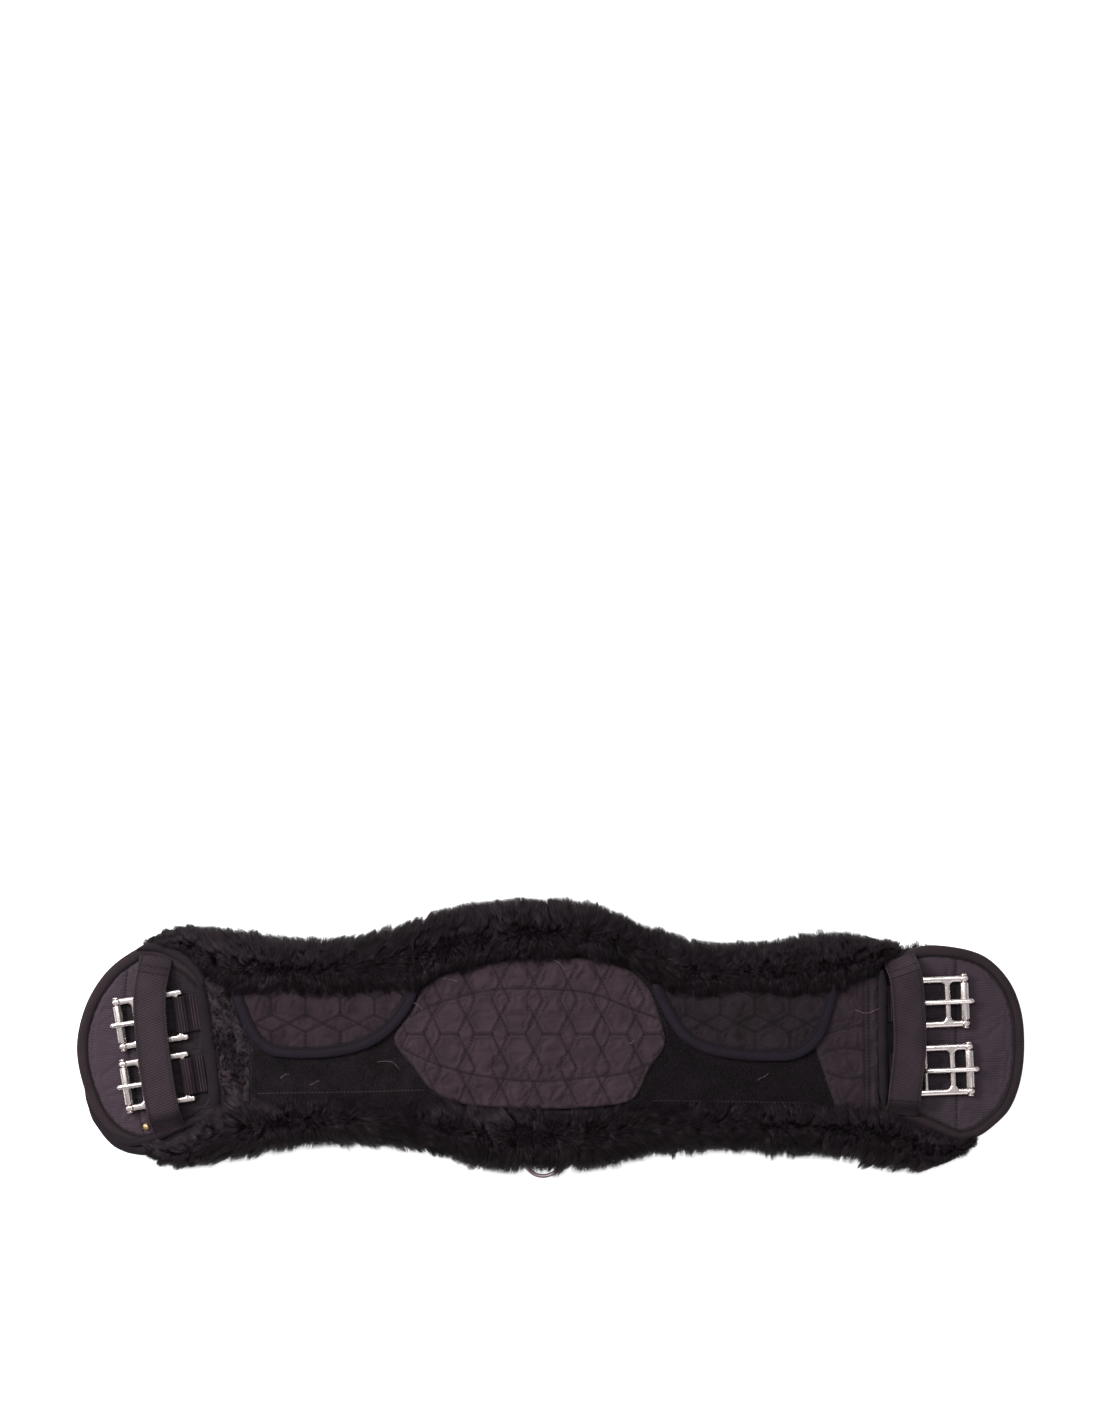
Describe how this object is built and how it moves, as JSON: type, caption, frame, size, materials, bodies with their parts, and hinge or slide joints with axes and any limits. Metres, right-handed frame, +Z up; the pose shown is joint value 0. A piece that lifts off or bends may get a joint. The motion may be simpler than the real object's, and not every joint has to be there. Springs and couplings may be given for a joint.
{
  "type": "saddle girth",
  "caption": "Short anatomical saddle girth with a sheepskin cover, closing flaps, padded ends with roller buckles on elastic, keeper bands and a D-ring.",
  "frame": {"origin": "under the middle of the girth, on the surface it lies on, at the centre of its plan box", "axes": "+X along the girth towards its right end as worn side up, +Y towards the back edge with the flap hinges, +Z up and out of the outer side; the D-ring is at the -Y edge"},
  "size_m": [0.715, 0.212, 0.0398],
  "materials": {
    "fleece": "deep soft pile, matt",
    "quilted_cotton": "quilted cotton twill, matt",
    "cover_cloth": "cotton twill, matt",
    "loop_pile": "fuzzy loop pile, matt",
    "navy_binding": "herringbone tape, matt",
    "ribbed_nylon": "fine ribbed nylon, slight sheen",
    "pad_binding": "folded nylon tape, satin",
    "webbing": "woven webbing, satin",
    "elastic": "ribbed elastic, matt",
    "foam": "closed-cell foam, matt",
    "brass": "polished",
    "nickelled_steel": "polished nickel"
  },
  "bodies": {
    "girth": {"fleece_lining": "fleece", "fleece_roll_back": "fleece", "fleece_roll_front": "fleece", "cover_base": "cover_cloth", "core_foam": "foam", "belt_back": "webbing", "belt_front": "webbing", "lens_panel": "quilted_cotton", "loop_field_left": "loop_pile", "loop_field_right": "loop_pile", "end_panel_left": "quilted_cotton", "end_panel_right": "quilted_cotton", "mouth_binding_left": "cover_cloth", "mouth_binding_right": "cover_cloth", "cover_binding_left_back": "navy_binding", "cover_binding_left_front": "navy_binding", "cover_binding_right_back": "navy_binding", "cover_binding_right_front": "navy_binding", "end_pad_left": "ribbed_nylon", "end_pad_right": "ribbed_nylon", "end_binding_left": "pad_binding", "end_binding_right": "pad_binding", "keeper_band_left": "webbing", "keeper_band_right": "webbing", "rivet": "brass", "d_ring_chape": "webbing"},
    "left_back_buckle": {"left_back_frame": "nickelled_steel", "left_back_pin": "nickelled_steel", "left_back_elastic": "elastic"},
    "left_back_roller": {"left_back_roller": "nickelled_steel"},
    "left_back_tongue": {"left_back_tongue": "nickelled_steel"},
    "left_front_buckle": {"left_front_frame": "nickelled_steel", "left_front_pin": "nickelled_steel", "left_front_elastic": "elastic"},
    "left_front_roller": {"left_front_roller": "nickelled_steel"},
    "left_front_tongue": {"left_front_tongue": "nickelled_steel"},
    "right_back_buckle": {"right_back_frame": "nickelled_steel", "right_back_pin": "nickelled_steel", "right_back_elastic": "elastic"},
    "right_back_roller": {"right_back_roller": "nickelled_steel"},
    "right_back_tongue": {"right_back_tongue": "nickelled_steel"},
    "right_front_buckle": {"right_front_frame": "nickelled_steel", "right_front_pin": "nickelled_steel", "right_front_elastic": "elastic"},
    "right_front_roller": {"right_front_roller": "nickelled_steel"},
    "right_front_tongue": {"right_front_tongue": "nickelled_steel"},
    "d_ring": {"d_ring": "nickelled_steel"},
    "left_flap": {"flap_left": "quilted_cotton", "flap_binding_left": "navy_binding", "hook_strip_left": "loop_pile"},
    "right_flap": {"flap_right": "quilted_cotton", "flap_binding_right": "navy_binding", "hook_strip_right": "loop_pile"}
  },
  "joints": [
    {"name": "left_back_stretch", "type": "slide", "parent": "girth", "child": "left_back_buckle", "axis": [-0.9877, -0.1564, 0], "range_m": [0, 0.015], "stiffness_N_per_m": 2000},
    {"name": "left_back_roller_turn", "type": "hinge", "parent": "left_back_buckle", "child": "left_back_roller", "pos_m": [-0.3241, 0.0105, 0.028], "axis": [0.1564, -0.9877, 0], "continuous": true},
    {"name": "left_back_tongue_lift", "type": "hinge", "parent": "left_back_buckle", "child": "left_back_tongue", "pos_m": [-0.29151, 0.01566, 0.028], "axis": [-0.1564, 0.9877, 0], "range_deg": [0, 10]},
    {"name": "left_front_stretch", "type": "slide", "parent": "girth", "child": "left_front_buckle", "axis": [-0.9877, -0.1564, 0], "range_m": [0, 0.015], "stiffness_N_per_m": 2000},
    {"name": "left_front_roller_turn", "type": "hinge", "parent": "left_front_buckle", "child": "left_front_roller", "pos_m": [-0.319, -0.0359, 0.028], "axis": [0.1564, -0.9877, 0], "continuous": true},
    {"name": "left_front_tongue_lift", "type": "hinge", "parent": "left_front_buckle", "child": "left_front_tongue", "pos_m": [-0.28641, -0.03074, 0.028], "axis": [-0.1564, 0.9877, 0], "range_deg": [0, 10]},
    {"name": "right_back_stretch", "type": "slide", "parent": "girth", "child": "right_back_buckle", "axis": [0.999, 0.0436, 0], "range_m": [0, 0.015], "stiffness_N_per_m": 2000},
    {"name": "right_back_roller_turn", "type": "hinge", "parent": "right_back_buckle", "child": "right_back_roller", "pos_m": [0.3117, 0.0282, 0.028], "axis": [-0.0436, 0.999, 0], "continuous": true},
    {"name": "right_back_tongue_lift", "type": "hinge", "parent": "right_back_buckle", "child": "right_back_tongue", "pos_m": [0.27873, 0.02676, 0.028], "axis": [0.0436, -0.999, 0], "range_deg": [0, 45]},
    {"name": "right_front_stretch", "type": "slide", "parent": "girth", "child": "right_front_buckle", "axis": [0.999, 0.0436, 0], "range_m": [0, 0.015], "stiffness_N_per_m": 2000},
    {"name": "right_front_roller_turn", "type": "hinge", "parent": "right_front_buckle", "child": "right_front_roller", "pos_m": [0.3154, -0.0229, 0.028], "axis": [-0.0436, 0.999, 0], "continuous": true},
    {"name": "right_front_tongue_lift", "type": "hinge", "parent": "right_front_buckle", "child": "right_front_tongue", "pos_m": [0.28243, -0.02434, 0.028], "axis": [0.0436, -0.999, 0], "range_deg": [0, 65]},
    {"name": "d_ring_swing", "type": "hinge", "parent": "girth", "child": "d_ring", "pos_m": [-0.0056, -0.084, 0.0212], "axis": [-1, 0, 0], "range_deg": [0, 85]},
    {"name": "left_flap_lift", "type": "hinge", "parent": "girth", "child": "left_flap", "pos_m": [-0.17, 0.037, 0.0316], "axis": [-1, 0, 0], "range_deg": [0, 110]},
    {"name": "right_flap_lift", "type": "hinge", "parent": "girth", "child": "right_flap", "pos_m": [0.14675, 0.037, 0.0316], "axis": [-1, 0, 0], "range_deg": [0, 110]}
  ]
}
